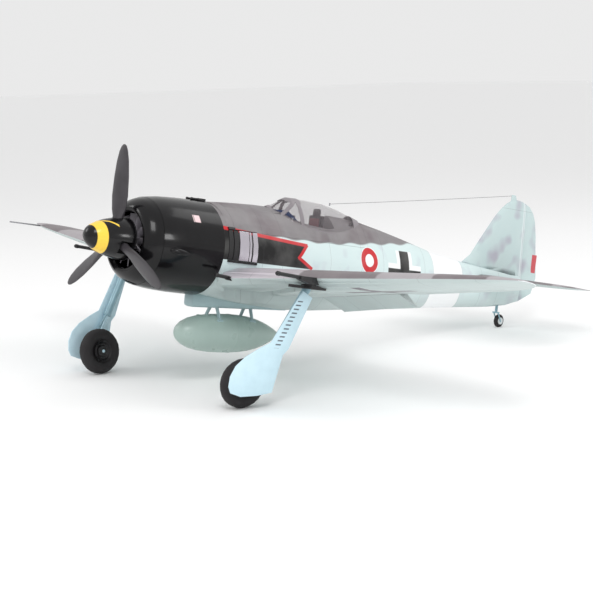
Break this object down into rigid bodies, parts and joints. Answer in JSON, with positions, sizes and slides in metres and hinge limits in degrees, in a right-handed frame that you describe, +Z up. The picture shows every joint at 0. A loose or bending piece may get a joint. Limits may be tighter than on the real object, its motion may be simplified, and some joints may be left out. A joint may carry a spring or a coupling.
{
  "type": "radio-controlled fighter aeroplane",
  "caption": "Low-wing radio-controlled propeller fighter of painted foam with radial cowl, folding main gear, belly tank and hinged control surfaces.",
  "frame": {"origin": "on the ground, under the middle of the bounding box, with the aircraft standing on its three wheels", "axes": "+X towards the port wing tip, -Y towards the nose, +Z up"},
  "size_m": [1.3992, 1.178, 0.4472],
  "materials": {
    "painted_foam": "matt camouflage paint on moulded foam",
    "gloss_cowl": "gloss black moulded plastic",
    "black_nylon": "black moulded nylon",
    "canopy_clear": "clear vacuum-formed sheet",
    "door_plastic": "pale blue satin paint",
    "leg_alloy": "blue-grey paint",
    "rack_plastic": "blue-grey paint",
    "tank_plastic": "grey-green satin paint",
    "tyre_rubber": "solid foam rubber",
    "bright_steel": "plain steel",
    "motor_steel": "laminated stator",
    "motor_alloy": "anodised can",
    "carbon_tube": "pultruded carbon tube",
    "shrink_wrap": "heat-shrink sleeve",
    "elastic_thread": "light elastic thread"
  },
  "bodies": {
    "airframe": {"fuselage": "painted_foam", "fin": "painted_foam", "tailplane_left": "painted_foam", "tailplane_right": "painted_foam", "wing_left": "painted_foam", "wing_right": "painted_foam", "wing_spar": "carbon_tube", "cowl": "gloss_cowl", "cowl_ring": "gloss_cowl", "exhaust_panel_left": "black_nylon", "exhaust_panel_right": "black_nylon", "deck_guns": "black_nylon", "motor_mount": "black_nylon", "motor_stator": "motor_steel", "battery": "shrink_wrap", "speed_controller": "shrink_wrap", "receiver": "black_nylon", "elevator_servo": "black_nylon", "rudder_servo": "black_nylon", "belly_rack": "rack_plastic", "drop_tank": "tank_plastic", "tank_brace_front": "rack_plastic", "tank_brace_rear": "rack_plastic", "root_cannon_left": "black_nylon", "root_cannon_right": "black_nylon", "outer_cannon_left": "black_nylon", "outer_cannon_right": "black_nylon", "pitot_tube": "bright_steel", "antenna_post": "bright_steel", "antenna_wire": "elastic_thread", "retract_unit_left": "black_nylon", "retract_unit_right": "black_nylon"},
    "propeller": {"spinner": "gloss_cowl", "prop_hub": "black_nylon", "blade_1": "black_nylon", "blade_2": "black_nylon", "blade_3": "black_nylon", "cooling_fan": "black_nylon", "motor_bell": "motor_alloy"},
    "hatch": {"hatch": "painted_foam", "canopy": "canopy_clear", "seat": "black_nylon"},
    "elevator": {"elevator_left": "painted_foam", "elevator_right": "painted_foam", "elevator_joiner": "bright_steel"},
    "rudder": {"rudder": "painted_foam"},
    "aileron_left": {"aileron_left": "painted_foam"},
    "aileron_right": {"aileron_right": "painted_foam"},
    "flap_left": {"flap_left": "painted_foam"},
    "flap_right": {"flap_right": "painted_foam"},
    "gear_left": {"leg_left": "leg_alloy", "gear_door_left": "door_plastic"},
    "gear_right": {"leg_right": "leg_alloy", "gear_door_right": "door_plastic"},
    "wheel_left": {"tyre_left": "tyre_rubber", "wheel_hub_left": "black_nylon"},
    "wheel_right": {"tyre_right": "tyre_rubber", "wheel_hub_right": "black_nylon"},
    "tail_strut": {"tail_wheel_fork": "bright_steel"},
    "tail_wheel": {"tail_wheel": "tyre_rubber"}
  },
  "joints": [
    {"name": "propeller_spin", "type": "hinge", "parent": "airframe", "child": "propeller", "pos_m": [0, -0.52405, 0.28546], "axis": [0, 0.9815, -0.1913], "continuous": true},
    {"name": "hatch_lift", "type": "slide", "parent": "airframe", "child": "hatch", "axis": [0, 0.1913, 0.9815], "range_m": [0, 0.08], "deforming": ["antenna_wire"]},
    {"name": "elevator_hinge", "type": "hinge", "parent": "airframe", "child": "elevator", "pos_m": [0, 0.47352, 0.10324], "axis": [1, 0, 0], "range_deg": [-25, 25]},
    {"name": "rudder_hinge", "type": "hinge", "parent": "airframe", "child": "rudder", "pos_m": [0, 0.52815, 0.08036], "axis": [0, 0.1322, 0.9912], "range_deg": [-30, 30]},
    {"name": "aileron_left_hinge", "type": "hinge", "parent": "airframe", "child": "aileron_left", "pos_m": [0.318, -0.14731, 0.18239], "axis": [0.9882, -0.095, 0.1199], "range_deg": [-20, 20]},
    {"name": "aileron_right_hinge", "type": "hinge", "parent": "airframe", "child": "aileron_right", "pos_m": [-0.318, -0.14731, 0.18239], "axis": [-0.9882, -0.095, 0.1199], "range_deg": [-20, 20]},
    {"name": "flap_left_hinge", "type": "hinge", "parent": "airframe", "child": "flap_left", "pos_m": [0.086, -0.12406, 0.14332], "axis": [0.9865, -0.0949, 0.1336], "range_deg": [-12, 28]},
    {"name": "flap_right_hinge", "type": "hinge", "parent": "airframe", "child": "flap_right", "pos_m": [-0.086, -0.12406, 0.14332], "axis": [-0.9865, -0.0949, 0.1336], "range_deg": [-28, 12]},
    {"name": "gear_left_fold", "type": "hinge", "parent": "airframe", "child": "gear_left", "pos_m": [0.27, -0.31304, 0.20765], "axis": [0.3601, 0.7962, -0.4861], "range_deg": [0, 77.89]},
    {"name": "gear_right_fold", "type": "hinge", "parent": "airframe", "child": "gear_right", "pos_m": [-0.27, -0.31304, 0.20765], "axis": [0.3601, -0.7962, 0.4861], "range_deg": [0, 77.89]},
    {"name": "wheel_left_spin", "type": "hinge", "parent": "gear_left", "child": "wheel_left", "pos_m": [0.21922, -0.42636, 0.04315], "axis": [-0.9899, 0.0803, 0.1165], "continuous": true},
    {"name": "wheel_right_spin", "type": "hinge", "parent": "gear_right", "child": "wheel_right", "pos_m": [-0.21922, -0.42636, 0.04315], "axis": [0.9899, 0.0803, 0.1165], "continuous": true},
    {"name": "tail_steer", "type": "hinge", "parent": "airframe", "child": "tail_strut", "pos_m": [0, 0.45969, 0.04276], "axis": [0, 0.1913, 0.9815], "range_deg": [-30, 30]},
    {"name": "tail_wheel_spin", "type": "hinge", "parent": "tail_strut", "child": "tail_wheel", "pos_m": [0, 0.4663, 0.01397], "axis": [1, 0, 0], "continuous": true}
  ],
  "couplings": [
    {"joint": "aileron_right_hinge", "follows": "aileron_left_hinge", "ratio": 1},
    {"joint": "flap_right_hinge", "follows": "flap_left_hinge", "ratio": -1},
    {"joint": "gear_right_fold", "follows": "gear_left_fold", "ratio": 1},
    {"joint": "tail_steer", "follows": "rudder_hinge", "ratio": 1}
  ]
}
